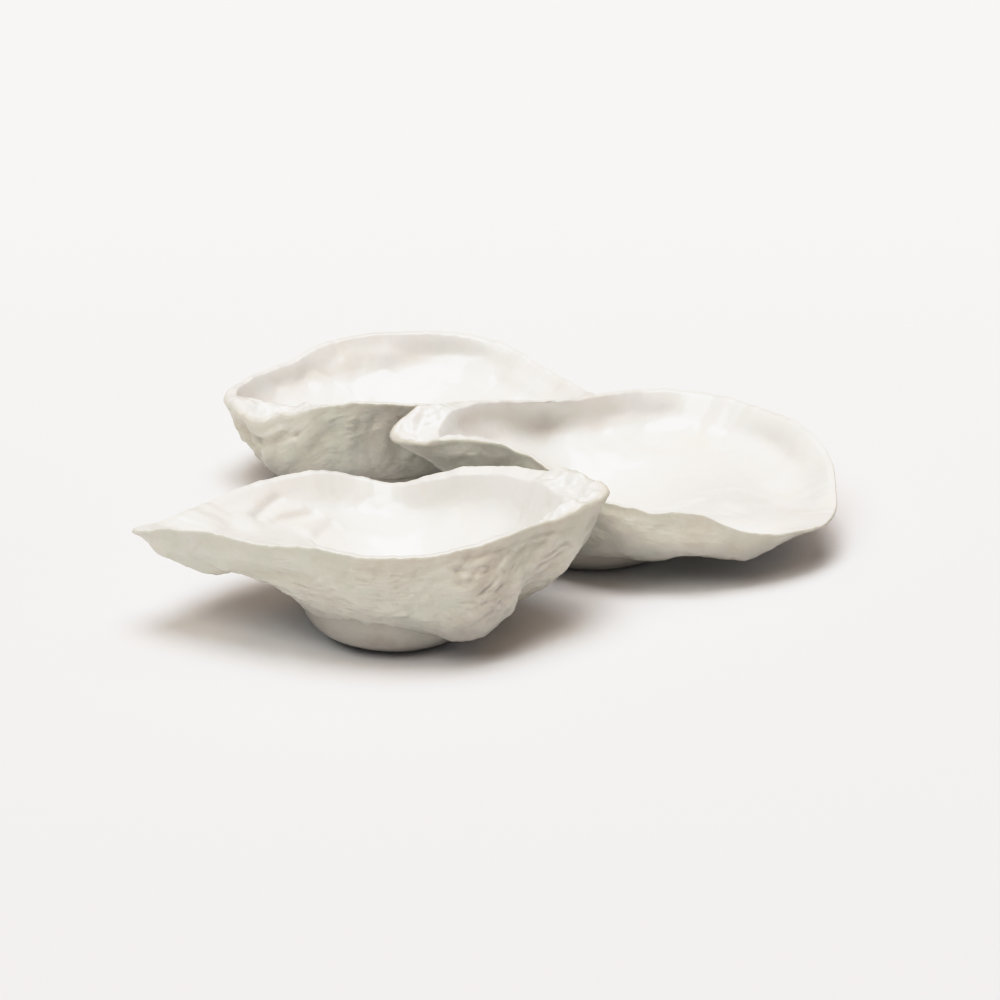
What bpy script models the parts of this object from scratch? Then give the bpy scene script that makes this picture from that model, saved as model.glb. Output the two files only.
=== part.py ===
"""A set of three white porcelain dishes in the form of oyster shells.

Each dish is a hollow shell standing on a turned foot. The shells are built about their foot's axis:
a rim curve gives the reach and height of the edge at every bearing, a wall table gives two heights
where the outside bulges or tucks in, and the inside follows the outside one wall thickness in.
Tables are in millimetres and degrees. Bearing 0 points along +X and bearing 90 along +Y.
"""

import bisect
import math

import bmesh
import bpy

MM = 0.001

WALL = 2.5                 # thickness of the shell's wall
FLOOR = 3.0                # thickness of the shell's floor over the foot
SEAT_HEIGHT = 8.5          # the shell's flat underside above the table
SEAT_GAP = 0.3             # joint between the foot and the shell
SHELF_START = 0.60         # share of the wall's height where a hinge shelf begins to thicken it
SHELF_RUN = 0.35           # share of the wall's height over which it reaches its full width

CORNER_FILL = 3.0          # how far the inside's corner is filled between floor and wall
CORNER_END = 0.5           # share of the wall's height at which that filling ends

RIM_STATIONS = 60          # columns of faces around a shell
WALL_STATIONS = 7          # rows of faces up a shell's wall
FOOT_STATIONS = 40         # columns of faces around a foot
DENSE_BEARINGS = 720       # samples used to space the columns evenly along the rim

FOOT_WALL = 5.0            # width of the ring that touches the table
RECESS_DEPTH = 5.0         # hollow under the foot

GLAZE_COLOUR = (0.90, 0.88, 0.84, 1.0)
FOOT_COLOUR = (0.86, 0.83, 0.78, 1.0)
GLAZE_ROUGHNESS = 0.25
FOOT_ROUGHNESS = 0.40

# Each dish has:
#   place   the foot's axis on the table, x and y
#   seat    radius of the flat seat between the shell and the foot
#   foot    radius of the foot where it meets the table
#   rim     bearing, reach, height, width of the rim or hinge shelf, rise of the shelf's inner edge
#   wall    bearing, lower reach, lower height, upper reach, upper height of the outside
DISHES = {
    "front": {
        "place": (-32.53, -72.13),
        "seat": 29.0,
        "foot": 21.5,
        "rim": [
            (0, 69, 47, 15, -4.5), (12, 63, 47, 13, -4.5), (28, 55, 45, 8, -3), (45, 49, 43, 6, -2),
            (62, 44, 40.6, 5, -2), (80, 45, 35, 4, -1), (94, 49, 30.5, 3, 0), (107, 53, 32.7, 3, 0),
            (122, 55.5, 36, 3, 0), (142, 60, 35.5, 3, 0), (160, 67, 34.5, 3, 0), (171, 74, 33.8, 4, 0),
            (180, 85, 33.5, 6, 0), (188, 75, 38.5, 4, 0), (198, 62, 40.5, 3, 0), (213, 50, 40, 3, 0),
            (235, 42, 41.5, 3, 0), (260, 39, 40, 3, 0), (285, 40, 40.5, 3, 0), (300, 42, 41.5, 3, 0),
            (317, 46, 43.5, 4, 0), (335, 51, 45, 5, -2), (348, 59, 45.5, 11, -4.5),
        ],
        "wall": [
            (4, 46, 13.5, 57, 23.5), (28, 38, 14, 48, 28), (62, 36, 15, 41, 28), (80, 36, 14, 42, 24),
            (95, 36, 13.5, 44, 22), (110, 37, 14, 47, 23), (130, 40, 15.5, 49, 25),
            (150, 43, 17.5, 54, 27), (165, 46, 20, 58, 27.5), (175, 54, 22.5, 67, 29),
            (181, 57, 24, 72, 29.5), (186, 54, 24.5, 70, 27.5), (190, 47, 25, 64, 26),
            (200, 45, 24.5, 58, 28.5),
            (213, 39, 20.5, 47.5, 29), (235, 35, 19.5, 41, 28.5), (270, 33.5, 18, 38, 27),
            (292, 34, 11.5, 39.5, 24), (303, 37, 8.8, 43, 21), (315, 39.5, 9, 46, 21),
            (326, 40.5, 12.5, 47, 25),
            (338, 41, 14.5, 49, 24.5), (351, 45.5, 12, 54.5, 20.5),
        ],
    },
    "right": {
        "place": (32.87, -1.13),
        "seat": 33.0,
        "foot": 26.5,
        "rim": [
            (10, 85, 26.6, 3, 0), (22, 82, 31.3, 3, 0), (37, 77, 32.6, 3, 0), (54, 72, 34, 3, 0),
            (69, 62.5, 35.3, 3, 0), (85, 50, 36.3, 3, 0), (110, 40, 38.5, 3, 0), (130, 40, 41, 3, 0),
            (147, 46, 43, 4, 0), (160, 52, 45, 6, -1), (170, 63, 46, 12, -3), (178, 70, 40, 17, -1),
            (187, 63, 41, 14, -1), (195, 48, 43, 8, 0), (205, 40, 43.5, 4, 0), (225, 34, 42, 3, 0),
            (250, 36, 38, 3, 0), (273, 41, 32, 3, 0), (290, 47, 29, 3, 0), (307, 57, 28.5, 3, 0),
            (320, 67, 21, 3, 0), (333, 77, 18, 3, 0), (341, 82.5, 17.3, 3, 0), (350, 84.72, 18.5, 3, 0),
            (358, 84.42, 21.5, 3, 0),
        ],
        "wall": [
            (0, 55, 11, 74, 15), (20, 55, 12, 72, 20), (38, 51, 12.5, 67, 22), (55, 46, 13, 61, 22.5),
            (72, 42, 13.5, 53, 23.5), (90, 39, 15, 45, 26), (112, 38, 16, 42.5, 28.5),
            (135, 37.5, 17, 42, 30), (160, 40, 18, 47, 32),
            (180, 42, 20, 57, 33), (190, 41, 19, 50, 31), (210, 36, 17, 37, 30), (240, 36, 13, 36, 25),
            (270, 40, 11.5, 42, 18), (300, 47, 10, 54, 17), (320, 52, 9.5, 66, 12.5),
            (333, 54, 9.8, 70, 12.8), (345, 53, 10.5, 69, 14.2),
        ],
    },
    "back": {
        "place": (-37.43, 61.47),
        "seat": 30.0,
        "foot": 22.0,
        "rim": [
            (0, 74, 30, 3, 0), (15, 68, 29.5, 3, 0), (30, 62, 32, 3, 0), (48, 59, 36.5, 3, 0),
            (63, 54.5, 38.5, 3, 0), (77, 51, 38.8, 3, 0), (92, 49, 39.2, 3, 0), (107, 48.7, 38.7, 3, 0),
            (125, 50, 36.6, 3, 0), (144, 51.5, 33, 3, 0), (163, 57, 32.5, 3, 0), (180, 62, 30.5, 6, 0.5),
            (195, 57, 30, 12, 3), (204, 53, 29.5, 14, 4), (216, 46, 33.5, 10, 2), (235, 41, 39, 4, 0),
            (250, 39, 41.5, 3, 0), (270, 39, 42, 3, 0), (290, 41, 41, 3, 0), (308, 44, 40.6, 3, 0),
            (324, 49, 38, 3, 0), (339, 57, 34.8, 3, 0), (350, 67, 32.2, 3, 0),
        ],
        "wall": [
            (0, 48, 13, 64, 20), (30, 44, 14, 54, 23), (60, 40, 14, 49, 26), (90, 37.5, 14, 44, 26),
            (120, 37.5, 14, 44, 25.5), (150, 41, 13, 47, 23), (178, 46, 10.5, 56, 20),
            (194, 46, 7.2, 54.2, 17), (207, 44.5, 6.4, 51.5, 16), (221, 41, 8.5, 46.5, 18.5),
            (238, 37, 12, 41, 24),
            (270, 35, 14, 38, 28), (310, 36, 14, 42, 28), (340, 43, 14, 53, 25),
        ],
    },
}


def remove_all_objects():
    for obj in list(bpy.data.objects):
        bpy.data.objects.remove(obj, do_unlink=True)


def curve_value(knots, values, at):
    """The smooth curve through values at uneven knots, where at lies between two inner knots."""
    i = min(max(bisect.bisect_right(knots, at) - 1, 1), len(knots) - 3)
    before, span, after = (knots[i + k] - knots[i + k - 1] for k in (0, 1, 2))
    t = (at - knots[i]) / span
    result = []
    for v0, v1, v2, v3 in zip(values[i - 1], values[i], values[i + 1], values[i + 2]):
        rise_before, rise, rise_after = (v1 - v0) / before, (v2 - v1) / span, (v3 - v2) / after
        slope_start = (rise_before * span + rise * before) / (before + span)
        slope_end = (rise * after + rise_after * span) / (span + after)
        result.append(
            (2 * t**3 - 3 * t**2 + 1) * v1
            + (t**3 - 2 * t**2 + t) * span * slope_start
            + (3 * t**2 - 2 * t**3) * v2
            + (t**3 - t**2) * span * slope_end
        )
    return result


def around(table, bearing):
    """The values of a table at a bearing, joined smoothly through north and back to the start."""
    rows = sorted(table)
    rows = [(rows[-1][0] - 360, *rows[-1][1:])] + rows
    rows += [(row[0] + 360, *row[1:]) for row in rows[1:3]]
    knots = [row[0] for row in rows]
    start = knots[1]
    return curve_value(knots, [row[1:] for row in rows], (bearing - start) % 360 + start)


def along(points, count):
    """count points spaced evenly along the smooth curve through points."""
    first = [2 * a - b for a, b in zip(points[0], points[1])]
    last = [2 * a - b for a, b in zip(points[-1], points[-2])]
    line = [first, *points, last]
    knots = [0.0]
    for a, b in zip(line, line[1:]):
        knots.append(knots[-1] + math.dist(a, b))
    start, end = knots[1], knots[-2]
    return [
        curve_value(knots, line, start + (end - start) * k / (count - 1)) for k in range(count)
    ]


def smooth_step(share):
    t = min(max(share, 0.0), 1.0)
    return t * t * (3 - 2 * t)


def on_circle(reach, bearing):
    angle = math.radians(bearing)
    return reach * math.cos(angle), reach * math.sin(angle)


def rim_bearings(dish):
    """Bearings that space the shell's columns evenly along its rim."""
    bearings = [360 * k / DENSE_BEARINGS for k in range(DENSE_BEARINGS + 1)]
    points = []
    for bearing in bearings:
        reach, height = around(dish["rim"], bearing)[:2]
        points.append((*on_circle(reach, bearing), height))
    run = [0.0]
    for a, b in zip(points, points[1:]):
        run.append(run[-1] + math.dist(a, b))
    return [
        bearings[bisect.bisect_left(run, run[-1] * k / RIM_STATIONS)] for k in range(RIM_STATIONS)
    ]


def section(dish, bearing):
    """Outer and inner sides of the wall at a bearing, from the seat up to the rim, as (reach, height)."""
    reach, height, shelf, rise = around(dish["rim"], bearing)
    low_reach, low_height, high_reach, high_height = around(dish["wall"], bearing)
    outer = along(
        [
            (dish["seat"], SEAT_HEIGHT),
            (low_reach, low_height),
            (high_reach, high_height),
            (reach, height),
        ],
        WALL_STATIONS,
    )
    inner = []
    for k, (r, z) in enumerate(outer):
        ahead = outer[min(k + 1, WALL_STATIONS - 1)]
        behind = outer[max(k - 1, 0)]
        run, climb = ahead[0] - behind[0], ahead[1] - behind[1]
        length = math.hypot(run, climb)
        share = smooth_step((k / (WALL_STATIONS - 1) - SHELF_START) / SHELF_RUN)
        fill = CORNER_FILL * (1 - smooth_step(k / (WALL_STATIONS - 1) / CORNER_END))
        inner.append((
            r - WALL * climb / length - (shelf - WALL) * share - fill,
            z + WALL * run / length + rise * share + fill / 2,
        ))
    return outer, inner


def ring(bm, radii_heights, bearings):
    """One closed loop of vertices, one for each bearing."""
    return [
        bm.verts.new((*on_circle(r * MM, bearing), z * MM))
        for (r, z), bearing in zip(radii_heights, bearings)
    ]


def bridge(bm, lower, upper):
    """A band of quads between two loops, facing out when the loops run anticlockwise going up."""
    count = len(lower)
    for k in range(count):
        n = (k + 1) % count
        bm.faces.new((lower[k], lower[n], upper[n], upper[k]))


def cap(bm, loop, height, facing_up):
    """A fan of triangles from a loop to a point on the axis."""
    centre = bm.verts.new((0, 0, height * MM))
    count = len(loop)
    for k in range(count):
        n = (k + 1) % count
        pair = (loop[k], loop[n]) if facing_up else (loop[n], loop[k])
        bm.faces.new((*pair, centre))


def porcelain(name, colour, roughness):
    material = bpy.data.materials.new(name)
    material.use_nodes = True
    shader = material.node_tree.nodes["Principled BSDF"]
    shader.inputs["Base Color"].default_value = colour
    shader.inputs["Roughness"].default_value = roughness
    shader.inputs["Metallic"].default_value = 0.0
    material.diffuse_color = colour
    return material


def add_object(name, bm, material, parent):
    mesh = bpy.data.meshes.new(name)
    bm.normal_update()
    bm.to_mesh(mesh)
    bm.free()
    mesh.materials.append(material)
    mesh.shade_smooth()
    obj = bpy.data.objects.new(name, mesh)
    bpy.context.scene.collection.objects.link(obj)
    obj.parent = parent
    return obj


def make_shell(name, dish, parent):
    bm = bmesh.new()
    bearings = rim_bearings(dish)
    sections = [section(dish, bearing) for bearing in bearings]
    outer_rings = [
        ring(bm, [outer[k] for outer, _ in sections], bearings) for k in range(WALL_STATIONS)
    ]
    inner_rings = [
        ring(bm, [inner[k] for _, inner in sections], bearings) for k in range(WALL_STATIONS)
    ]
    loops = outer_rings + inner_rings[::-1]
    for lower, upper in zip(loops, loops[1:]):
        bridge(bm, lower, upper)
    cap(bm, outer_rings[0], SEAT_HEIGHT, facing_up=False)
    cap(bm, inner_rings[0], SEAT_HEIGHT + FLOOR, facing_up=True)
    material = porcelain(f"{name}_glaze", GLAZE_COLOUR, GLAZE_ROUGHNESS)
    return add_object(name, bm, material, parent)


def make_foot(name, dish, parent):
    """A turned foot that flares up from the table, with a shallow hollow beneath."""
    bm = bmesh.new()
    bearings = [360 * k / FOOT_STATIONS for k in range(FOOT_STATIONS)]
    contact, top = dish["foot"], dish["seat"]
    profile = [
        (contact - FOOT_WALL - 1.0, RECESS_DEPTH),
        (contact - FOOT_WALL, 0.0),
        (contact - 0.8, 0.0),
        (contact + 0.6, 0.5),
        (contact + 2.4, 2.5),
        (top - 2.5, 5.0),
        (top, SEAT_HEIGHT - SEAT_GAP),
    ]
    loops = [ring(bm, [point] * FOOT_STATIONS, bearings) for point in profile]
    for lower, upper in zip(loops, loops[1:]):
        bridge(bm, lower, upper)
    cap(bm, loops[0], RECESS_DEPTH, facing_up=False)
    cap(bm, loops[-1], SEAT_HEIGHT - SEAT_GAP, facing_up=True)
    material = porcelain(f"{name}_porcelain", FOOT_COLOUR, FOOT_ROUGHNESS)
    return add_object(name, bm, material, parent)


def make_dish(name, dish):
    """A shell and its foot, both parented to an empty on the foot's axis."""
    x, y = dish["place"]
    axis = bpy.data.objects.new(f"{name}_axis", None)
    axis.location = (x * MM, y * MM, 0)
    bpy.context.scene.collection.objects.link(axis)
    make_shell(f"{name}_shell", dish, axis)
    make_foot(f"{name}_foot", dish, axis)


def main():
    remove_all_objects()
    for name, dish in DISHES.items():
        make_dish(name, dish)
    bpy.context.view_layer.update()


main()
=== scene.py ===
"""The looks of three white porcelain oyster-shell dishes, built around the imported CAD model.

Each dish's shell and foot are made again as fine meshes about the same foot axis, from the same rim and
wall tables as the CAD, and then get what a hand-pressed shell has: folds, growth ledges, wrinkles, a
rounded uneven edge and a smooth wavy inside. Tables are in millimetres and degrees. Bearing 0 points
along +X and bearing 90 along +Y.
"""

import math

import bpy
import numpy as np
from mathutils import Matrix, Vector, noise


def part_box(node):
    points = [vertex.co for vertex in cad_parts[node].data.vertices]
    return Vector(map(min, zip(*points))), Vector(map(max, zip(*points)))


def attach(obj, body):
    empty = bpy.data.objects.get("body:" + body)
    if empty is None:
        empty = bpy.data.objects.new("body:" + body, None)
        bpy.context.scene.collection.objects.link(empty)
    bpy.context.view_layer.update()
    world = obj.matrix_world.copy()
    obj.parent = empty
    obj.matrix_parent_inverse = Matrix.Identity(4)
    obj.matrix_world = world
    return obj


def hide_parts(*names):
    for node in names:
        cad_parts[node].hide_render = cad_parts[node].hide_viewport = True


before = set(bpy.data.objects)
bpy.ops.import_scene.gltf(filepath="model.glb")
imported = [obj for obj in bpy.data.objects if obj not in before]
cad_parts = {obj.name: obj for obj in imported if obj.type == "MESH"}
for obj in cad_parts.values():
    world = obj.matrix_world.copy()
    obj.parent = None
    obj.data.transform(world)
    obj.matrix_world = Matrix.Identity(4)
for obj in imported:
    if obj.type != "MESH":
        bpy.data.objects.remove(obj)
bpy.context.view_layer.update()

MM = 0.001

WALL = 2.5                 # thickness of the shell's wall
FLOOR = 3.0                # thickness of the shell's floor over the foot
SEAT_HEIGHT = 8.5          # the shell's flat underside above the table

COLUMNS = 460              # columns of faces around a shell
OUTER_ROWS = 100           # rows of faces up the outside
INNER_ROWS = 84            # rows of faces up the inside, from the middle of the floor
LIP_ROWS = 22              # rows of faces over the edge
DENSE_BEARINGS = 1440      # samples used to space the columns evenly along the rim
LIP_DROP = 0.8             # how far the outside ends below the top of the rim
HINGE_DROP = 1.6           # how much further it ends below a hinge's thick rolled edge
LIP_RISE = 1.1             # rise of the rounded edge, before its fall towards the inside is taken off
LIP_CREST = 0.35           # share of the edge's width at which its crest lies
INSIDE_FILL = 4.0          # how far the inside's corner is filled between floor and wall
RIM_WIDTH = 4.0            # width of the rim, past which its shelf counts as a hinge
RIM_THINNING = 0.2         # share of its width that a rim loses where it isn't a hinge
HINGE_SPREAD = 8.0         # further width over which a rim turns fully into a hinge
HINGE_EASE = (1.0, -1.0)   # sag of the slope from a hinge into the bowl
HINGE_ROLL = 3.5           # width of the rolled edge of a hinge
FLOOR_SHARE = 0.42         # share of the seat's radius over which the floor is nearly flat
FLOOR_RISE = 0.7           # how much the floor climbs by there
INSIDE_SETBACK = 0.5       # extra thickness of the wall's upper part
WALL_RUN = 45.0            # length of a wall from seat to rim, used to measure folds
REACH = 45.0               # reach of a wall, used to measure folds
SEAT_FADE = 0.26           # share of the wall over which the relief starts above the seat
RIM_FADE = 0.14            # share of the wall over which the relief calms down towards the rim
RIM_CALM = 0.85            # how much of it is gone at the rim, where the edge is too sharp to carry it
CENTRE_FADE = 0.25         # share of the inside over which the relief starts from the middle

FOOT_COLUMNS = 160         # columns of faces around a foot
FOOT_ROWS = 70             # rows of faces from the middle of its hollow to its top
FOOT_WALL = 5.0            # width of the ring that touches the table
RECESS_DEPTH = 5.0         # hollow under the foot
FOOT_WOBBLE_SIZE, FOOT_WOBBLE = 14.0, 0.35   # unevenness of the foot's side

BROAD_SIZE, BROAD_HEIGHT = 34.0, 1.0         # lumps of the pressed clay
LUMP_SIZE, LUMP_HEIGHT = 13.0, 0.85          # facets and dents
CHIP_SIZE, CHIP_HEIGHT = 6.0, 0.40           # small roughness
WRINKLE_AROUND, WRINKLE_DOWN, WRINKLE_HEIGHT = 11.0, 5.0, 0.28    # wrinkles that follow the rim
STREAK_AROUND, STREAK_DOWN, STREAK_HEIGHT = 2.6, 22.0, 0.11       # fine streaks down the wall
GRAIN_LONG, GRAIN_SHORT = 24.0, 5.0          # layers along the creased grain of some walls
LEDGE_SPACING, LEDGE_HEIGHT = 7.0, 0.30      # growth ledges that step down the outside
LEDGE_DRIFT_SIZE, LEDGE_DRIFT = 20.0, 2.2    # how far the ledges wander, in ledges
LEDGE_TREAD = 0.7                            # share of a ledge that climbs before it drops
CREASE_SHARPNESS = 4.0                       # how narrow the creases between swells are
WAVE_SIZE, WAVE_HEIGHT = 24.0, 0.9           # waves of the inside
RIPPLE_SIZE, RIPPLE_HEIGHT = 9.0, 0.22       # ripples of the inside
PLEAT_SIZE, PLEAT_HEIGHT = 16.0, 0.20        # soft pleats pressed into the inside of a wall
PLATE_SIZE, PLATE_HEIGHT = 9.0, 3.2          # unevenness of the broad hinge
EDGE_SIZE, EDGE_SWAY = 9.0, 0.55             # unevenness of the rim
NICK_SIZE, NICK_SWAY = 2.6, 0.22             # small nicks in the rim

# Where a kind of relief shows, as the size, gain and offset of the noise that decides it
LEDGE_PATCHES = (16.0, 2.0, 0.3)
WRINKLE_PATCHES = (18.0, 1.5, 0.5)
PLEAT_PATCHES = (20.0, 2.0, 0.1)

# Each kind of relief adds its own number to its dish's seed
SEEDS = {
    "broad": 0, "lump": 2, "chip": 3, "ledge": 4, "ledge_patch": 5, "wave": 6, "ripple": 7, "edge": 8,
    "foot": 9, "wrinkle": 10, "streak": 11, "wrinkle_patch": 12, "grain": 13, "nick": 14, "plate": 15,
    "pleat": 16, "pleat_patch": 17,
}

# Colours of the glaze along its noise, from 0 to 1: inside, outside, and painted shade low down by the
# foot
PEARL_STOPS = [
    (0.30, (0.870, 0.852, 0.820)),
    (0.45, (0.890, 0.882, 0.868)),
    (0.56, (0.872, 0.880, 0.862)),
    (0.70, (0.895, 0.882, 0.875)),
]
# the outside's own beige, made darker still as painted shade of walls that face down, away from the
# lights
BEIGE_AND_SHADE_STOPS = [
    (0.30, (0.680, 0.655, 0.600)),
    (0.46, (0.725, 0.712, 0.662)),
    (0.58, (0.702, 0.708, 0.650)),
    (0.72, (0.742, 0.728, 0.690)),
]
# painted shade: the foot, and the shell low down, are coloured darker where the light hardly reaches
FOOT_SHADE_STOPS = [
    (0.30, (0.500, 0.472, 0.432)),
    (0.46, (0.545, 0.523, 0.488)),
    (0.58, (0.528, 0.519, 0.478)),
    (0.72, (0.558, 0.536, 0.507)),
]
GROOVE_COLOUR = (0.63, 0.60, 0.52, 1.0)
PAINTED_SHADE_BELOW, PAINTED_SHADE_FADE = 9.0, 12.0            # height below which the outside turns to painted shade, and of its fading above that
NOISE_ROUGHNESS = 0.6                        # how rough the noise behind the glaze's changes is

# Sizes of the glaze's changes, in metres: pearl, blotches, gloss, beige grooves, grain and puckers
PEARL_SIZE, BLOTCH_SIZE, GLOSS_SIZE = 0.026, 0.020, 0.008
GROOVE_SIZE, GRAIN_SIZE, PUCKER_SIZE = 0.009, 0.0011, 0.0042

GROOVE_RELIEF = (0.2, -1.4)                  # relief in which grooves start and end turning beige
GROOVE_NOISE = (0.35, 0.65)                  # noise between the palest and deepest patches of them
GROOVE_STRENGTH = (0.15, 0.6)                # and how beige those are
GLOSS_NOISE = (0.3, 0.7)                     # noise between the glossiest and dullest patches
SATIN_ROUGHNESS = (0.34, 0.50)               # their roughness inside
DRY_ROUGHNESS = (0.42, 0.60)                 # their roughness outside
GRAIN_BUMP, PUCKER_BUMP = 0.0002, 0.0006     # depth of grain and puckers, in metres
GRAIN_STRENGTH = (0.10, 0.45)                # strength of that bump inside and outside
PUCKER_STRENGTH = (0.12, 0.55)
COAT_WEIGHT, COAT_ROUGHNESS = 0.45, 0.14

TABLE_HALF = 12.0          # half the table's width, in metres
TABLE_ROUGHNESS = 0.8
TABLE_REACH = (-0.30, 0.50)                  # near and far end of the table's painted light, in metres
TABLE_LIGHT_STOPS = [            # colour of the table along that stretch, painted lighter further away as painted light
    (0.0, (0.862, 0.868, 0.888)),
    (0.4, (0.900, 0.906, 0.925)),
    (1.0, (0.985, 0.985, 0.985)),
]
SKY_STOPS = [              # brightness of the surround by the sine of its height above the horizon
    (0.00, (0.90, 0.90, 0.90)),
    (0.08, (0.90, 0.89, 0.88)),
    (0.17, (0.50, 0.42, 0.34)),
    (0.30, (0.16, 0.18, 0.22)),
    (0.58, (0.16, 0.18, 0.22)),
    (0.63, (0.76, 0.53, 0.35)),
    (0.84, (0.76, 0.53, 0.35)),
    (0.92, (0.10, 0.09, 0.08)),
]
VIEW_ELEVATION = 22.0      # how steeply the camera looks down, in degrees
VIEW_DISTANCE = 1.1        # from the camera to the point that it looks at, in metres
VIEW_AIM = (0.00123, 0.0370, 0.0)
VIEW_LENS, VIEW_SENSOR = 110, 36             # in millimetres
VIEW_GAMMA = 0.61          # contrast of the finished picture
TONE_WHITE = 2.0           # brightness at the top of the tone curve
TONE_CURVE = [             # brightness before and after, with a soft shoulder like a studio photo's
    (0.0, 0.0), (0.5, 0.52), (0.75, 0.78), (1.0, 0.93), (1.2, 0.966), (1.45, 0.986), (2.0, 1.0),
]

# Elevation, bearing and spread in degrees, strength and colour of each light
LIGHTS = {
    "overhead": (90, 0, 38, 1.65, (0.985, 0.985, 1.0)),
    "softbox": (52, 236, 34, 1.02, (0.90, 0.985, 1.0)),
    "fill": (60, 45, 40, 0.18, (0.40, 0.78, 1.0)),
}

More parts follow.
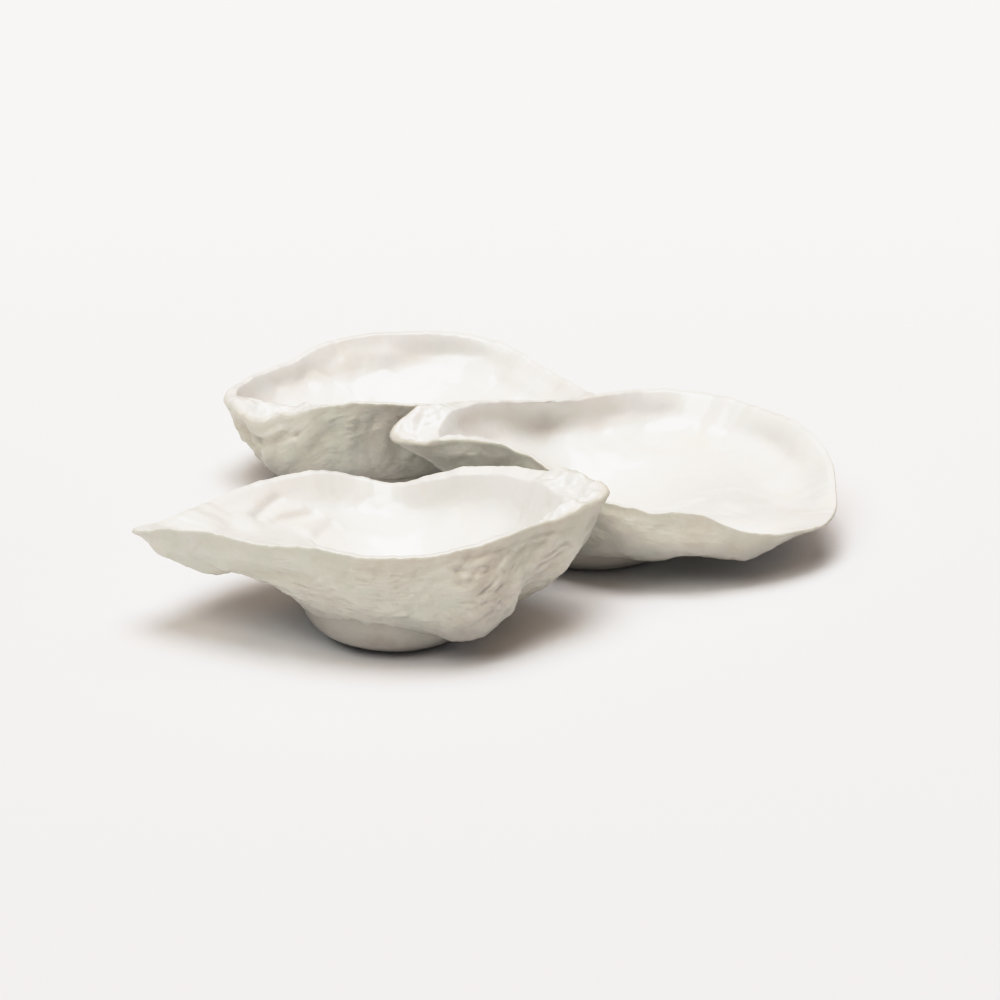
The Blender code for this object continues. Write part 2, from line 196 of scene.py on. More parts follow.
# Each dish has:
#   seat    radius of the seat between the shell and the foot
#   foot    radius of the foot where it meets the table
#   seed    start of the dish's noise
#   rough   strength of the fine relief outside
#   collar  bearing, reach and height of the foot's collar round the shell
#   rim     bearing, reach, height, width of the rim or hinge shelf, rise of the shelf's inner edge
#   wall    bearing, lower reach, lower height, upper reach, upper height of the outside
#   grain   middle and half width as bearings, tilt in degrees and height of the creased layers
#   lifts   bearing, width in degrees and height by which the edge rises or, when negative, dips
#   dents   bearing, share of the way over the hinge, width and height of its lumps and hollows
#   folds   side, start and end as (bearing, share of the wall), width, height above the surface
DISHES = {
    "front": {
        "seat": 29.0,
        "foot": 21.5,
        "seed": 3,
        "rough": 1.0,
        "collar": [
            (0, 31.5, 12), (90, 31.5, 12), (180, 30.8, 11.5), (215, 31.8, 15.2), (250, 32.6, 16.0),
            (275, 32.6, 15.0), (300, 31.5, 10), (330, 31.5, 10),
        ],
        "rim": [
            (0, 69, 47, 15, -4.5), (12, 63, 47, 13, -4.5), (28, 55, 45, 8, -3), (45, 49, 43, 6, -2),
            (62, 44, 40.6, 5, -2), (80, 45, 35, 4, -1), (94, 49, 30.5, 3, 0), (107, 53, 32.7, 3, 0),
            (122, 55.5, 36, 3, 0), (142, 60, 35.5, 3, 0), (160, 67, 34.5, 3, 0), (171, 74, 33.8, 4, 0),
            (180, 85, 33.5, 6, 0), (188, 75, 38.5, 4, 0), (198, 62, 40.5, 3, 0), (213, 50, 40, 3, 0),
            (235, 42, 41.5, 3, 0), (260, 39, 40, 3, 0), (285, 40, 40.5, 3, 0), (300, 42, 41.5, 3, 0),
            (317, 46, 43.5, 4, 0), (335, 51, 45, 5, -2), (348, 59, 45.5, 11, -4.5),
        ],
        "wall": [
            (4, 46, 13.5, 57, 23.5), (28, 38, 14, 48, 28), (62, 36, 15, 41, 28), (80, 36, 14, 42, 24),
            (95, 36, 13.5, 44, 22), (110, 37, 14, 47, 23), (130, 40, 15.5, 49, 25),
            (150, 43, 17.5, 54, 27), (165, 46, 20, 58, 27.5), (175, 54, 22.5, 67, 29),
            (181, 57, 24, 72, 29.5), (186, 54, 24.5, 70, 27.5), (190, 47, 25, 64, 26),
            (200, 45, 24.5, 58, 28.5),
            (213, 39, 20.5, 47.5, 29), (235, 35, 19.5, 41, 28.5), (270, 33.5, 18, 38, 27),
            (292, 34, 11.5, 39.5, 24), (303, 37, 8.8, 43, 21), (315, 39.5, 9, 46, 21),
            (326, 40.5, 12.5, 47, 25),
            (338, 41, 14.5, 49, 24.5), (351, 45.5, 12, 54.5, 20.5),
        ],
        "grain": [(323, 28, 38, 0.32), (240, 45, -8, 0.14)],
        "lifts": [(2, 9, 1.8), (17, 7, 2.2), (352, 5, 0.6), (180, 2.5, 0.8)],
        "dents": [
            (19, 0.36, 2.4, -2.6), (12, 0.20, 2.6, 1.0), (355, 0.45, 4.5, 1.1), (5, 0.72, 4.0, -1.2),
            (346, 0.50, 2.5, -1.0),
        ],
        "folds": [
            ("out", (330, 0.24), (325, 0.62), 2.6, 1.3),
            ("out", (347, 0.30), (343, 0.52), 7.0, -2.6),
            ("out", (303, 0.95), (348, 0.92), 1.2, -1.0),
            ("out", (322, 0.93), (344, 0.89), 1.2, 0.4),
            ("out", (318, 0.89), (346, 0.85), 1.4, -0.5),
            ("out", (329, 0.66), (345, 0.92), 2.5, 0.9),
            ("out", (299, 0.80), (305, 0.98), 2.5, -0.7),
            ("out", (312, 0.30), (306, 0.75), 3.5, 0.9),
            ("out", (250, 0.45), (290, 0.40), 3.0, 0.8),
            ("out", (205, 0.70), (232, 0.72), 4.0, -1.0),
            ("out", (186, 0.92), (193, 0.66), 2.5, 1.3),
            ("out", (177, 0.84), (184, 0.90), 4.5, 2.4),
            ("out", (352, 0.60), (350, 0.90), 2.5, 0.8),
            ("in", (154, 0.82), (140, 0.90), 1.5, -1.1),
            ("in", (150, 0.76), (130, 0.74), 1.5, -0.9),
            ("in", (151, 0.79), (134, 0.80), 2.0, 0.7),
            ("in", (147, 0.54), (126, 0.64), 1.8, -0.8),
            ("in", (144, 0.62), (128, 0.69), 3.0, 0.8),
            ("in", (166, 0.80), (158, 0.93), 3.0, -0.7),
            ("in", (160, 0.85), (168, 0.90), 6.0, 1.2),
            ("in", (8, 0.93), (12, 0.99), 1.5, -0.9),
        ],
    },
    "right": {
        "seat": 33.0,
        "foot": 26.5,
        "seed": 11,
        "rough": 0.45,
        "collar": [(0, 36, 12), (120, 36, 12), (240, 36, 12)],
        "rim": [
            (10, 85, 26.6, 3, 0), (22, 82, 31.3, 3, 0), (37, 77, 32.6, 3, 0), (54, 72, 34, 3, 0),
            (69, 62.5, 35.3, 3, 0), (85, 50, 36.3, 3, 0), (110, 40, 38.5, 3, 0), (130, 40, 41, 3, 0),
            (147, 46, 43, 4, 0), (160, 52, 45, 6, -1), (170, 63, 46, 12, -3), (178, 70, 40, 17, -1),
            (187, 63, 41, 14, -1), (195, 48, 43, 8, 0), (205, 40, 43.5, 4, 0), (225, 34, 42, 3, 0),
            (250, 36, 38, 3, 0), (273, 41, 32, 3, 0), (290, 47, 29, 3, 0), (307, 57, 28.5, 3, 0),
            (320, 67, 21, 3, 0), (333, 77, 18, 3, 0), (341, 82.5, 17.3, 3, 0), (350, 84.72, 18.5, 3, 0),
            (358, 84.42, 21.5, 3, 0),
        ],
        "wall": [
            (0, 55, 11, 74, 15), (20, 55, 12, 72, 20), (38, 51, 12.5, 67, 22), (55, 46, 13, 61, 22.5),
            (72, 42, 13.5, 53, 23.5), (90, 39, 15, 45, 26), (112, 38, 16, 42.5, 28.5),
            (135, 37.5, 17, 42, 30), (160, 40, 18, 47, 32),
            (180, 42, 20, 57, 33), (190, 41, 19, 50, 31), (210, 36, 17, 37, 30), (240, 36, 13, 36, 25),
            (270, 40, 11.5, 42, 18), (300, 47, 10, 54, 17), (320, 52, 9.5, 66, 12.5),
            (333, 54, 9.8, 70, 12.8), (345, 53, 10.5, 69, 14.2),
        ],
        "grain": [(310, 45, 12, 0.05), (200, 40, 30, 0.08)],
        "lifts": [(178, 5, 0.8)],
        "dents": [(172, 0.40, 4.0, 0.8), (184, 0.55, 4.0, -0.9)],
        "folds": [
            ("out", (186, 0.60), (186, 0.95), 4.0, 1.2),
            ("out", (306, 0.45), (318, 0.95), 4.0, -1.2),
            ("out", (320, 0.30), (322, 0.90), 4.0, 1.0),
            ("out", (283, 0.50), (290, 0.90), 4.0, 0.8),
            ("in", (85, 0.75), (110, 0.80), 6.0, -1.0),
            ("in", (40, 0.88), (20, 0.88), 4.0, -0.9),
            ("in", (30, 0.78), (12, 0.80), 3.0, 0.7),
            ("in", (12, 0.88), (358, 0.92), 3.0, -0.6),
        ],
    },
    "back": {
        "seat": 30.0,
        "foot": 22.0,
        "seed": 23,
        "rough": 0.7,
        "collar": [
            (0, 33, 12), (90, 33, 12), (150, 33, 12), (174, 31.6, 9.6), (199, 31.2, 9.2),
            (222, 31.6, 9.6), (248, 33, 12), (300, 33, 12),
        ],
        "rim": [
            (0, 74, 30, 3, 0), (15, 68, 29.5, 3, 0), (30, 62, 32, 3, 0), (48, 59, 36.5, 3, 0),
            (63, 54.5, 38.5, 3, 0), (77, 51, 38.8, 3, 0), (92, 49, 39.2, 3, 0), (107, 48.7, 38.7, 3, 0),
            (125, 50, 36.6, 3, 0), (144, 51.5, 33, 3, 0), (163, 57, 32.5, 3, 0), (180, 62, 30.5, 6, 0.5),
            (195, 57, 30, 12, 3), (204, 53, 29.5, 14, 4), (216, 46, 33.5, 10, 2), (235, 41, 39, 4, 0),
            (250, 39, 41.5, 3, 0), (270, 39, 42, 3, 0), (290, 41, 41, 3, 0), (308, 44, 40.6, 3, 0),
            (324, 49, 38, 3, 0), (339, 57, 34.8, 3, 0), (350, 67, 32.2, 3, 0),
        ],
        "wall": [
            (0, 48, 13, 64, 20), (30, 44, 14, 54, 23), (60, 40, 14, 49, 26), (90, 37.5, 14, 44, 26),
            (120, 37.5, 14, 44, 25.5), (150, 41, 13, 47, 23), (178, 46, 10.5, 56, 20),
            (194, 46, 7.2, 54.2, 17), (207, 44.5, 6.4, 51.5, 16), (221, 41, 8.5, 46.5, 18.5),
            (238, 37, 12, 41, 24),
            (270, 35, 14, 38, 28), (310, 36, 14, 42, 28), (340, 43, 14, 53, 25),
        ],
        "grain": [(215, 40, 25, 0.12), (60, 50, 15, 0.14)],
        "lifts": [(187, 4, 0.9), (205, 4, -1.0), (213, 4, 0.7)],
        "dents": [
            (189, 0.30, 2.4, 0.8), (196, 0.28, 2.0, -1.8), (203, 0.20, 2.4, 0.9), (213, 0.35, 3.0, -1.3),
        ],
        "folds": [
            ("out", (201, 0.66), (203, 0.88), 2.5, -1.2),
            ("out", (190, 0.97), (193, 0.78), 1.8, 1.3),
            ("out", (196, 0.97), (197, 0.76), 1.6, -1.8),
            ("out", (201, 0.95), (214, 0.90), 1.5, 0.9),
            ("out", (204, 0.86), (222, 0.82), 1.6, -0.8),
            ("out", (207, 0.60), (212, 0.95), 3.0, 1.0),
            ("out", (224, 0.50), (240, 0.75), 4.0, -0.9),
            ("out", (262, 0.40), (272, 0.90), 4.0, 0.8),
            ("in", (155, 0.90), (140, 0.86), 4.0, -1.0),
            ("in", (117, 0.82), (95, 0.85), 5.0, 1.0),
            ("in", (75, 0.90), (55, 0.92), 4.0, -0.8),
            ("in", (35, 0.85), (22, 0.90), 3.0, 0.7),
        ],
    },
}


def curve_values(knots, values, at):
    """The smooth curve through values at uneven knots, for each of at, which lie between inner knots."""
    i = np.clip(np.searchsorted(knots, at, side="right") - 1, 1, len(knots) - 3)
    before, span, after = ((knots[i + k] - knots[i + k - 1])[:, None] for k in (0, 1, 2))
    t = (at - knots[i])[:, None] / span
    rise_before = (values[i] - values[i - 1]) / before
    rise = (values[i + 1] - values[i]) / span
    rise_after = (values[i + 2] - values[i + 1]) / after
    slope_start = (rise_before * span + rise * before) / (before + span)
    slope_end = (rise * after + rise_after * span) / (span + after)
    return (
        (2 * t**3 - 3 * t**2 + 1) * values[i]
        + (t**3 - 2 * t**2 + t) * span * slope_start
        + (3 * t**2 - 2 * t**3) * values[i + 1]
        + (t**3 - t**2) * span * slope_end
    )


def around(table, bearings):
    """The values of a table at each bearing, joined smoothly back to the start."""
    rows = np.array(sorted(table), float)
    knots = np.concatenate([rows[-1:, 0] - 360, rows[:, 0], rows[:2, 0] + 360])
    values = np.vstack([rows[-1:, 1:], rows[:, 1:], rows[:2, 1:]])
    return curve_values(knots, values, (bearings - knots[1]) % 360 + knots[1])


def along(points, shares):
    """The smooth curve through points, read at shares of its length."""
    line = np.vstack([2 * points[0] - points[1], points, 2 * points[-1] - points[-2]])
    knots = np.concatenate([[0], np.cumsum(np.linalg.norm(np.diff(line, axis=0), axis=1))])
    return curve_values(knots, line, knots[1] + (knots[-2] - knots[1]) * shares)


def smooth_step(share):
    """0 below 0, 1 above 1 and a soft rise between them."""
    t = np.clip(share, 0, 1)
    return t * t * (3 - 2 * t)


def turn_from(middle, bearings):
    """Bearings as turns of -180 to 180 degrees away from a middle one."""
    return (bearings - middle + 180) % 360 - 180


def hinge_share(width):
    """0 for the width of a plain rim and 1 for that of a hinge."""
    return smooth_step((width - RIM_WIDTH) / HINGE_SPREAD)


def rim_bearings(dish):
    """Bearings that space the shell's columns evenly along its rim."""
    bearings = np.linspace(0, 360, DENSE_BEARINGS + 1)
    reach, height = around(dish["rim"], bearings)[:, :2].T
    angle = np.radians(bearings)
    points = np.stack([reach * np.cos(angle), reach * np.sin(angle), height], axis=1)
    run = np.concatenate([[0], np.cumsum(np.linalg.norm(np.diff(points, axis=0), axis=1))])
    return np.interp(np.arange(COLUMNS) / COLUMNS * run[-1], run, bearings)


def fractal(points, size, octaves, dish, kind):
    """Soft noise in about -1 to 1, whose largest features are size millimetres across."""
    seed = dish["seed"] + SEEDS[kind]
    shift = Vector((seed * 17.3, seed * 5.1, seed * 9.7))
    return np.array([
        noise.fractal(Vector(p) / size + shift, 1.0, 2.0, octaves) for p in points.reshape(-1, 3)
    ]).reshape(points.shape[:-1])


def sections(dish, bearings):
    """Outer and inner sides of the wall, as (column, row, reach and height)."""
    rim = around(dish["rim"], bearings)
    wall = around(dish["wall"], bearings)
    is_hinge = hinge_share(rim[:, 2])[:, None]
    edge = rim[:, 1] - LIP_DROP - HINGE_DROP * is_hinge[:, 0]
    outer_shares = np.linspace(0, 1, OUTER_ROWS)
    outer = np.stack([
        along(
            np.array([
                (dish["seat"], SEAT_HEIGHT),
                (wall[k, 0], wall[k, 1]),
                (wall[k, 2], wall[k, 3]),
                (rim[k, 0], edge[k]),
            ]),
            outer_shares,
        )
        for k in range(len(bearings))
    ])
    floor_height = SEAT_HEIGHT + FLOOR
    inner_shares = np.linspace(0, 1, INNER_ROWS)
    low = np.stack([wall[:, 0] - WALL - INSIDE_FILL, wall[:, 1] + WALL + INSIDE_FILL], axis=1)
    breadth = rim[:, 2] * (1 - RIM_THINNING * (1 - is_hinge[:, 0]))
    top = np.stack([rim[:, 0] - breadth, rim[:, 1] + rim[:, 3]], axis=1)
    steep = np.stack([wall[:, 2] - WALL - INSIDE_SETBACK, wall[:, 3] + WALL / 2], axis=1)
    eased = (low + top) / 2 + np.array(HINGE_EASE)
    high = steep * (1 - is_hinge) + eased * is_hinge
    inner = np.stack([
        along(
            np.array([
                (0.0, floor_height),
                (dish["seat"] * FLOOR_SHARE, floor_height + FLOOR_RISE),
                low[k],
                high[k],
                top[k],
            ]),
            inner_shares,
        )
        for k in range(len(bearings))
    ])
    return outer, inner


def quarter_round(share):
    """Height of a quarter circle that climbs from 0 at share 0 to 1 at share 1 and then stays level."""
    return np.sqrt(1 - (1 - np.clip(share, 0, 1)) ** 2)


def lip(outer, inner):
    """The rounded edge between the tops of the two sides, without its end rows."""
    t = np.linspace(0, 1, LIP_ROWS + 2)[None, 1:-1]
    start, end = outer[:, -1:], inner[:, -1:]
    edge = start + (end - start) * t[..., None]
    breadth = np.linalg.norm(end - start, axis=2)
    rolled = quarter_round(t * breadth / HINGE_ROLL) - t
    rounding = LIP_RISE * quarter_round(t / LIP_CREST) * (1 - t)
    edge[:, :, 1] += rounding + hinge_share(breadth) * HINGE_DROP * rolled
    return edge


def in_space(section, bearings):
    """Points of a section turned to their bearings about the foot's axis."""
    angle = np.radians(bearings)[:, None]
    reach, height = section[:, :, 0], section[:, :, 1]
    return np.stack([reach * np.cos(angle), reach * np.sin(angle), height], axis=2)


def surface_normals(grid):
    """Unit normals of a grid of points that closes on itself along its first axis."""
    across = np.roll(grid, -1, axis=0) - np.roll(grid, 1, axis=0)
    up = np.gradient(grid, axis=1)
    normal = np.cross(across, up)
    return normal / np.maximum(np.linalg.norm(normal, axis=2, keepdims=True), 1e-9)


def fold(bearings, shares, start, end, width, height):
    """A ridge or, with a negative height, a crease along a line between two (bearing, share) points."""
    middle = (start[0] + end[0]) / 2
    turned = turn_from(middle, bearings) + middle
    points = np.stack(
        np.broadcast_arrays(np.radians(turned)[:, None] * REACH, shares[None, :] * WALL_RUN), axis=2
    )
    a = np.array([math.radians(start[0]) * REACH, start[1] * WALL_RUN])
    b = np.array([math.radians(end[0]) * REACH, end[1] * WALL_RUN])
    share = np.clip(((points - a) @ (b - a)) / max((b - a) @ (b - a), 1e-9), 0, 1)
    distance = np.linalg.norm(points - a - share[..., None] * (b - a), axis=2)
    return height * np.exp(-((distance / width) ** 2))


def patches(points, size_gain_offset, dish, kind):
    """Soft-edged patches in which a kind of relief shows."""
    size, gain, offset = size_gain_offset
    return smooth_step(fractal(points, size, 2, dish, kind) * gain + offset)


def ledges(points, shares, dish):
    """Steps that follow the rim, worn away in patches, as growth leaves them on a shell."""
    drift = LEDGE_DRIFT * fractal(points, LEDGE_DRIFT_SIZE, 3, dish, "ledge")
    phase = (shares[None, :] * WALL_RUN / LEDGE_SPACING + drift) % 1.0
    step = smooth_step(phase / LEDGE_TREAD) - smooth_step((phase - LEDGE_TREAD) / (1 - LEDGE_TREAD))
    return LEDGE_HEIGHT * step * patches(points, LEDGE_PATCHES, dish, "ledge_patch")


def ringed(bearings, shares, around_size, down_size):
    """Positions on an even wall, scaled for noise of one size around it and another down it."""
    angle = np.radians(bearings)[:, None]
    reach = np.full(shares.shape, REACH)[None, :]
    return np.stack([
        reach * np.cos(angle) / around_size,
        reach * np.sin(angle) / around_size,
        np.broadcast_to(shares * WALL_RUN / down_size, (len(bearings), len(shares))),
    ], axis=2)


def tilted(bearings, shares, middle, tilt):
    """Positions on a wall laid flat about a middle bearing, scaled for noise along a tilted line."""
    run = np.radians(turn_from(middle, bearings))[:, None] * REACH
    climb = np.broadcast_to(shares * WALL_RUN, (len(bearings), len(shares)))
    slope = math.radians(tilt)
    ahead = (run * math.cos(slope) + climb * math.sin(slope)) / GRAIN_LONG
    across = (climb * math.cos(slope) - run * math.sin(slope)) / GRAIN_SHORT
    return np.stack([ahead, across, np.zeros_like(ahead)], axis=2)


def creased(noise_values):
    """Noise turned into rounded swells with narrow creases between them."""
    return 1.0 - 2.0 * np.exp(-np.abs(noise_values) * CREASE_SHARPNESS)


def grain(bearings, shares, dish, middle, half, tilt, height):
    """Creased layers along a tilted line, over part of the wall about a middle bearing."""
    places = tilted(bearings, shares, middle, tilt)
    away = np.abs(turn_from(middle, bearings)) / half
    window = smooth_step((1.0 - away) * 2.0)[:, None] * smooth_step(shares * 5 - 0.6)[None, :]
    return height * creased(fractal(places, 1.0, 3, dish, "grain")) * window


def calmed(shares):
    """Strength of the relief along a wall, lower near the thin rim."""
    return 1 - RIM_CALM * smooth_step((shares - 1 + RIM_FADE) / RIM_FADE)


def all_folds(bearings, shares, dish, wanted_side):
    """The sum of a dish's single folds on one side, "in" or "out"."""
    total = np.zeros((len(bearings), len(shares)))
    for side, start, end, width, height in dish["folds"]:
        if side == wanted_side:
            total += fold(bearings, shares, start, end, width, height)
    return total


def outside_relief(points, bearings, dish):
    """Height of the outside over its plain form."""
    shares = np.linspace(0, 1, OUTER_ROWS)
    relief = BROAD_HEIGHT * fractal(points, BROAD_SIZE, 2, dish, "broad")
    relief += LUMP_HEIGHT * fractal(points, LUMP_SIZE, 3, dish, "lump")
    fine = CHIP_HEIGHT * fractal(points, CHIP_SIZE, 3, dish, "chip")
    fine += ledges(points, shares, dish)
    places = ringed(bearings, shares, WRINKLE_AROUND, WRINKLE_DOWN)
    wrinkles = creased(fractal(places, 1.0, 3, dish, "wrinkle"))
    fine += WRINKLE_HEIGHT * wrinkles * patches(points, WRINKLE_PATCHES, dish, "wrinkle_patch")
    places = ringed(bearings, shares, STREAK_AROUND, STREAK_DOWN)
    fine += STREAK_HEIGHT * fractal(places, 1.0, 2, dish, "streak")
    relief += fine * dish["rough"]
    for middle, half, tilt, height in dish["grain"]:
        relief += grain(bearings, shares, dish, middle, half, tilt, height)
    relief += all_folds(bearings, shares, dish, "out")
    return relief * (smooth_step(shares / SEAT_FADE) * calmed(shares))[None, :]


def inside_relief(points, bearings, dish):
    """Height of the inside over its plain form."""
    shares = np.linspace(0, 1, INNER_ROWS)
    relief = WAVE_HEIGHT * fractal(points, WAVE_SIZE, 2, dish, "wave")
    relief += RIPPLE_HEIGHT * fractal(points, RIPPLE_SIZE, 3, dish, "ripple")
    on_wall = smooth_step(shares * 4 - 1.8)[None, :]
    pleats = creased(fractal(points, PLEAT_SIZE, 2, dish, "pleat"))
    relief += PLEAT_HEIGHT * pleats * patches(points, PLEAT_PATCHES, dish, "pleat_patch") * on_wall
    relief += all_folds(bearings, shares, dish, "in")
    return relief * (smooth_step(shares / CENTRE_FADE) * calmed(shares))[None, :]


def rim_sway(edge_points, bearings, dish):
    """How far the rim rises or dips at each column."""
    sway = EDGE_SWAY * fractal(edge_points, EDGE_SIZE, 3, dish, "edge")
    sway += NICK_SWAY * fractal(edge_points, NICK_SIZE, 2, dish, "nick")
    for middle, half, height in dish["lifts"]:
        away = turn_from(middle, bearings) / half
        sway += height * np.exp(-away**2)[:, None]
    return sway


def hinge_relief(lip_points, bearings, edge_reach, share, breadth, dish):
    """Lumps and hollows of the flat top of a hinge, upwards."""
    plate = PLATE_HEIGHT * hinge_share(breadth) * fractal(lip_points, PLATE_SIZE, 3, dish, "plate")
    for middle, place, width, height in dish["dents"]:
        aside = np.radians(turn_from(middle, bearings))[:, None] * edge_reach
        inwards = (share - place) * breadth
        plate += height * np.exp(-(aside**2 + inwards**2) / width**2)
    return plate * np.sin(np.pi * share)


def shell_points(dish):
    """A shell as a closed grid, up the outside, over the lip and down the inside, with its relief."""
    bearings = rim_bearings(dish)
    outer, inner = sections(dish, bearings)
    sway = rim_sway(in_space(outer[:, -1:], bearings), bearings, dish)
    for side in (outer, inner):
        near_rim = smooth_step(np.linspace(0, 1, side.shape[1]) * 4 - 3)
        side[:, :, 1] += sway * near_rim[None, :]
    grid = in_space(np.concatenate([outer, lip(outer, inner), inner[:, ::-1]], axis=1), bearings)
    outer_relief = outside_relief(grid[:, :OUTER_ROWS], bearings, dish)
    inner_relief = inside_relief(grid[:, -INNER_ROWS:][:, ::-1], bearings, dish)[:, ::-1]

    share = np.linspace(0, 1, LIP_ROWS + 2)[None, 1:-1]
    breadth = np.linalg.norm(outer[:, -1] - inner[:, -1], axis=1)[:, None]
    fade = (1 - share) ** (1 + np.maximum(breadth - RIM_WIDTH, 0) / 2)
    lip_relief = outer_relief[:, -1:] * fade + inner_relief[:, :1] * share
    relief = np.concatenate([outer_relief, lip_relief, inner_relief], axis=1)
    points = grid + surface_normals(grid) * relief[..., None]

    on_lip = slice(OUTER_ROWS, -INNER_ROWS)
    plate = hinge_relief(grid[:, on_lip], bearings, outer[:, -1:, 0], share, breadth, dish)
    points[:, on_lip, 2] += plate
    relief[:, on_lip] += plate
    lip_outside = np.clip(np.linspace(1, -3, LIP_ROWS), 0, 1)
    outside = np.concatenate([np.ones(OUTER_ROWS), lip_outside, np.zeros(INNER_ROWS)])
    return points, relief, outside


def grid_mesh(name, grid, origin):
    """A closed mesh from a grid of columns and rows. The first row is capped, the last one meets."""
    columns, rows = grid.shape[:2]
    body = grid[:, :-1].reshape(-1, 3)
    top = grid[:, -1].mean(axis=0)
    bottom = grid[:, 0].mean(axis=0)
    points = (np.vstack([body, top, bottom]) * MM) + np.array(origin)
    rows -= 1
    index = np.arange(columns * rows).reshape(columns, rows)
    after = np.roll(index, -1, axis=0)
    quads = np.stack([index[:, :-1], after[:, :-1], after[:, 1:], index[:, 1:]], axis=2)
    faces = quads.reshape(-1, 4).tolist()
    top_index, bottom_index = columns * rows, columns * rows + 1
    for k in range(columns):
        n = (k + 1) % columns
        faces.append((int(index[k, -1]), int(index[n, -1]), top_index))
        faces.append((int(index[n, 0]), int(index[k, 0]), bottom_index))
    mesh = bpy.data.meshes.new(name)
    mesh.from_pydata(points.tolist(), [], faces)
    mesh.update()
    mesh.shade_smooth()
    obj = bpy.data.objects.new(name, mesh)
    bpy.context.scene.collection.objects.link(obj)
    return obj


def add_attribute(obj, name, grid):
    """A value for each vertex that grid_mesh made from the grid."""
    values = np.concatenate([grid[:, :-1].ravel(), [grid[:, -1].mean(), grid[:, 0].mean()]])
    attribute = obj.data.attributes.new(name, "FLOAT", "POINT")
    attribute.data.foreach_set("value", values.astype(np.float32))


def add_node(tree, kind, inputs=(), **settings):
    """A node with some settings, and values or links for its inputs."""
    node = tree.nodes.new(kind)
    for key, value in settings.items():
        setattr(node, key, value)
    for socket, value in dict(inputs).items():
        if isinstance(value, bpy.types.NodeSocket):
            tree.links.new(value, node.inputs[socket])
        else:
            node.inputs[socket].default_value = value
    return node


def noise_value(tree, where, size, detail, roughness=0.5):
    """Noise of 0 to 1 whose largest features are size metres across."""
    node = add_node(
        tree, "ShaderNodeTexNoise",
        {"Vector": where, "Scale": 1.0 / size, "Detail": detail, "Roughness": roughness},
    )
    return node.outputs["Fac"]


def ramp_colour(tree, factor, stops):
    """The colour at factor along a row of (position, colour) stops."""
    node = add_node(tree, "ShaderNodeValToRGB", {"Fac": factor})
    elements = node.color_ramp.elements
    while len(elements) < len(stops):
        elements.new(0.5)
    for element, (position, colour) in zip(elements, stops):
        element.position = position
        element.color = (*colour, 1.0)
    return node.outputs["Color"]


def remap(tree, value, source, target):
    """A value moved from one range to another and held within it."""
    node = add_node(
        tree, "ShaderNodeMapRange",
        {
            "Value": value,
            "From Min": source[0],
            "From Max": source[1],
            "To Min": target[0],
            "To Max": target[1],
        },
    )
    return node.outputs["Result"]


def product(tree, first, second):
    """Two values multiplied."""
    return add_node(tree, "ShaderNodeMath", {0: first, 1: second}, operation="MULTIPLY").outputs[0]


def mix_colours(tree, factor, first, second):
    """The first colour at factor 0 and the second at factor 1."""
    node = add_node(tree, "ShaderNodeMixRGB", {"Fac": factor, "Color1": first, "Color2": second})
    return node.outputs["Color"]


def glaze_colour(tree, where, relief, outside, low):
    """Pearly inside, warmer outside, painted shade low down, and beige in patches of the outside's
    grooves.
    """
    pearl = ramp_colour(tree, noise_value(tree, where, PEARL_SIZE, 3, NOISE_ROUGHNESS), PEARL_STOPS)
    blotches = noise_value(tree, where, BLOTCH_SIZE, 4, NOISE_ROUGHNESS)
    # partly the outside's own beige and partly painted shade
    beige_and_shade = ramp_colour(tree, blotches, BEIGE_AND_SHADE_STOPS)
    # painted shade: the darker colour that the outside takes low down and on the foot
    painted_shade_low = ramp_colour(tree, blotches, FOOT_SHADE_STOPS)
    body = mix_colours(tree, outside, pearl, mix_colours(tree, low, beige_and_shade, painted_shade_low))
    groove_depth = remap(tree, relief, GROOVE_RELIEF, (0.0, 1.0))
    groove_patch = remap(tree, noise_value(tree, where, GROOVE_SIZE, 3), GROOVE_NOISE, GROOVE_STRENGTH)
    groove = product(tree, product(tree, groove_depth, groove_patch), outside)
    return mix_colours(tree, groove, body, GROOVE_COLOUR)


def glaze_roughness(tree, where, outside):
    """Satin inside and drier outside, both in soft patches."""
    gloss = noise_value(tree, where, GLOSS_SIZE, 3, NOISE_ROUGHNESS)
    satin = remap(tree, gloss, GLOSS_NOISE, SATIN_ROUGHNESS)
    dry = remap(tree, gloss, GLOSS_NOISE, DRY_ROUGHNESS)
    return add_node(tree, "ShaderNodeMix", {0: outside, 2: satin, 3: dry}).outputs[0]


def glaze_bump(tree, where, outside):
    """Fine grain and small puckers, both fainter inside."""
    grain_height = noise_value(tree, where, GRAIN_SIZE, 2)
    grain_strength = remap(tree, outside, (0.0, 1.0), GRAIN_STRENGTH)
    grain_normal = add_node(
        tree, "ShaderNodeBump",
        {"Strength": grain_strength, "Distance": GRAIN_BUMP, "Height": grain_height},
    ).outputs["Normal"]
    pucker_height = noise_value(tree, where, PUCKER_SIZE, 3)
    pucker_strength = remap(tree, outside, (0.0, 1.0), PUCKER_STRENGTH)
    return add_node(
        tree, "ShaderNodeBump",
        {
            "Strength": pucker_strength,
            "Distance": PUCKER_BUMP,
            "Height": pucker_height,
            "Normal": grain_normal,
        },
    ).outputs["Normal"]


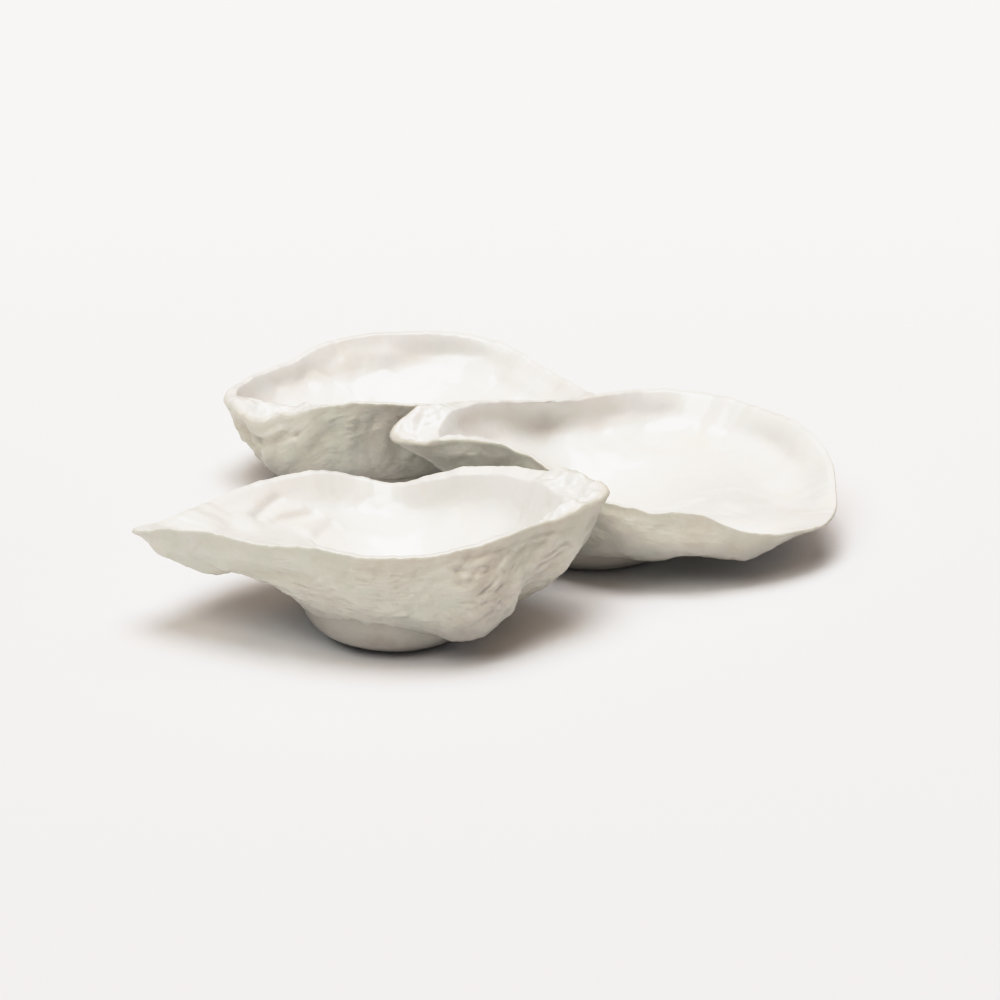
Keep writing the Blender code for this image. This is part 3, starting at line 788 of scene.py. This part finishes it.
def porcelain(name):
    """Satin white glaze, from three values that each mesh carries.

    relief is the height over the plain form in millimetres, outside is 1 on the outside and 0 on the
    inside, and low rises to 1 towards the foot, where the colour turns to painted shade.
    """
    material = bpy.data.materials.new(name)
    material.use_nodes = True
    tree = material.node_tree
    shader = tree.nodes["Principled BSDF"]
    where = add_node(tree, "ShaderNodeTexCoord").outputs["Object"]
    relief, outside, low = (
        add_node(tree, "ShaderNodeAttribute", attribute_name=value).outputs["Fac"]
        for value in ("relief", "outside", "low")
    )
    colour = glaze_colour(tree, where, relief, outside, low)
    tree.links.new(colour, shader.inputs["Base Color"])
    tree.links.new(glaze_roughness(tree, where, outside), shader.inputs["Roughness"])
    tree.links.new(glaze_bump(tree, where, outside), shader.inputs["Normal"])
    shader.inputs["Coat Weight"].default_value = COAT_WEIGHT
    shader.inputs["Coat Roughness"].default_value = COAT_ROUGHNESS
    return material


def foot_axis(name):
    """Where a dish's foot stands on the table, from its CAD node."""
    low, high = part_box(f"{name}_foot")
    return ((low[0] + high[0]) / 2, (low[1] + high[1]) / 2, 0.0)


def foot_points(dish):
    """A turned foot from the middle of its hollow, over the ring and up to a collar round the shell."""
    ring, seat = dish["foot"], dish["seat"]
    bearings = np.arange(FOOT_COLUMNS) * 360 / FOOT_COLUMNS
    shares = np.linspace(0, 1, FOOT_ROWS)
    section = np.stack([
        along(
            np.array([
                # the hollow
                (0.0, RECESS_DEPTH),
                (ring - FOOT_WALL - 3.5, RECESS_DEPTH),
                (ring - FOOT_WALL - 1.2, RECESS_DEPTH - 1.2),
                (ring - FOOT_WALL, 0.5),
                # the ring on the table
                (ring - FOOT_WALL + 0.7, 0.0),
                (ring - 1.6, 0.0),
                (ring + 0.2, 0.45),
                # the side, up to the rounded collar
                (ring + 0.35 * (collar - ring), 2.4),
                (ring + 0.80 * (collar - ring), 6.4),
                (collar, top - 1.8),
                (collar - 0.4, top - 0.2),
                (collar - 1.6, top - 0.3),
                # hidden inside the shell
                (seat - 0.5, 9.3),
            ]),
            shares,
        )
        for collar, top in around(dish["collar"], bearings)
    ])
    section[:, :, 1] = np.maximum(section[:, :, 1], 0.0)
    grid = in_space(section, bearings)
    lifted = smooth_step(grid[:, :, 2] / 2.0)
    wobble = FOOT_WOBBLE * fractal(grid, FOOT_WOBBLE_SIZE, 2, dish, "foot") * lifted
    return grid + surface_normals(grid) * wobble[..., None]


def make_foot(name, dish):
    """A dish's foot, which stands for its CAD node."""
    points = foot_points(dish)
    foot = grid_mesh(f"{name}_foot_porcelain", points, foot_axis(name))
    foot.data.materials.append(porcelain(f"{name}_foot_glaze"))
    add_attribute(foot, "outside", np.ones(points.shape[:2]))
    # painted shade: the whole foot takes the darker low-down colour
    add_attribute(foot, "low", np.ones(points.shape[:2]))
    add_attribute(foot, "relief", np.zeros(points.shape[:2]))
    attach(foot, f"{name}_dish")
    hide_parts(f"{name}_foot")


def make_shell(name, dish):
    """A dish's shell, which stands for its CAD node."""
    grid, relief, outside = shell_points(dish)
    shell = grid_mesh(f"{name}_shell_porcelain", grid, foot_axis(name))
    add_attribute(shell, "relief", relief)
    add_attribute(shell, "outside", np.broadcast_to(outside, relief.shape))
    # painted shade: low is 1 near the table and fades to 0 higher up the shell
    add_attribute(shell, "low", 1 - smooth_step((grid[:, :, 2] - PAINTED_SHADE_BELOW) / PAINTED_SHADE_FADE))
    shell.data.materials.append(porcelain(f"{name}_shell_glaze"))
    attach(shell, f"{name}_dish")
    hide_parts(f"{name}_shell")


def make_stage():
    """A pale table that runs past the view on every side, with painted light that grows further away."""
    mesh = bpy.data.meshes.new("table_top")
    corners = [(x * TABLE_HALF, y * TABLE_HALF, 0) for x, y in ((-1, -1), (1, -1), (1, 1), (-1, 1))]
    mesh.from_pydata(corners, [], [(0, 1, 2, 3)])
    table = bpy.data.objects.new("table_top", mesh)
    bpy.context.scene.collection.objects.link(table)
    material = bpy.data.materials.new("pale_table")
    material.use_nodes = True
    tree = material.node_tree
    shader = tree.nodes["Principled BSDF"]
    where = add_node(tree, "ShaderNodeTexCoord").outputs["Object"]
    away = add_node(tree, "ShaderNodeSeparateXYZ", {0: where}).outputs["Y"]
    # painted light: the table is coloured lighter further from the camera
    shade = ramp_colour(tree, remap(tree, away, TABLE_REACH, (0.0, 1.0)), TABLE_LIGHT_STOPS)
    tree.links.new(shade, shader.inputs["Base Color"])
    shader.inputs["Roughness"].default_value = TABLE_ROUGHNESS
    mesh.materials.append(material)


def add_sun(name, elevation, bearing, spread, energy, colour):
    """A soft light from one side of the sky. Angles are in degrees."""
    data = bpy.data.lights.new(name, "SUN")
    data.angle = math.radians(spread)
    data.energy = energy
    data.color = colour
    lamp = bpy.data.objects.new(name, data)
    climb, turn = math.radians(elevation), math.radians(bearing)
    towards = Vector((
        math.cos(climb) * math.cos(turn), math.cos(climb) * math.sin(turn), math.sin(climb)
    ))
    lamp.rotation_euler = (-towards).to_track_quat("-Z", "Y").to_euler()
    bpy.context.scene.collection.objects.link(lamp)


def make_lights():
    """A broad soft light overhead, one in front on the left, a weak one behind, and the surround."""
    for name, settings in LIGHTS.items():
        add_sun(name, *settings)
    make_surround()


def make_surround():
    """The world: pale along the horizon, where low views see it, with a warm ring of light higher up."""
    world = bpy.data.worlds.new("surround")
    world.use_nodes = True
    tree = world.node_tree
    direction = add_node(tree, "ShaderNodeTexCoord").outputs["Generated"]
    parts = add_node(tree, "ShaderNodeSeparateXYZ", {0: direction})
    sky = ramp_colour(tree, parts.outputs["Z"], SKY_STOPS)
    tree.links.new(sky, tree.nodes["Background"].inputs["Color"])
    bpy.context.scene.world = world


def make_camera():
    """A long lens in front of the dishes, looking down at the table."""
    elevation = math.radians(VIEW_ELEVATION)
    back = Vector((0.0, -math.cos(elevation), math.sin(elevation)))
    data = bpy.data.cameras.new("camera")
    data.lens = VIEW_LENS
    data.sensor_width = VIEW_SENSOR
    camera = bpy.data.objects.new("camera", data)
    camera.location = Vector(VIEW_AIM) + back * VIEW_DISTANCE
    camera.rotation_euler = (-back).to_track_quat("-Z", "Y").to_euler()
    bpy.context.scene.collection.objects.link(camera)
    bpy.context.scene.camera = camera


def set_tone():
    """Picture contrast with a soft shoulder, so that white glaze keeps its shading."""
    view = bpy.context.scene.view_settings
    view.view_transform = "Standard"
    view.gamma = VIEW_GAMMA
    view.use_curve_mapping = True
    mapping = view.curve_mapping
    mapping.white_level = (TONE_WHITE, TONE_WHITE, TONE_WHITE)
    points = mapping.curves[3].points
    points[1].location = (1.0, 1.0)
    for before, after in TONE_CURVE[1:-1]:
        points.new(before / TONE_WHITE, after)
    mapping.update()


def main():
    """The view, the table, the lights and the three dishes."""
    set_tone()
    make_camera()
    make_stage()
    make_lights()
    for name, dish in DISHES.items():
        make_shell(name, dish)
        make_foot(name, dish)


main()
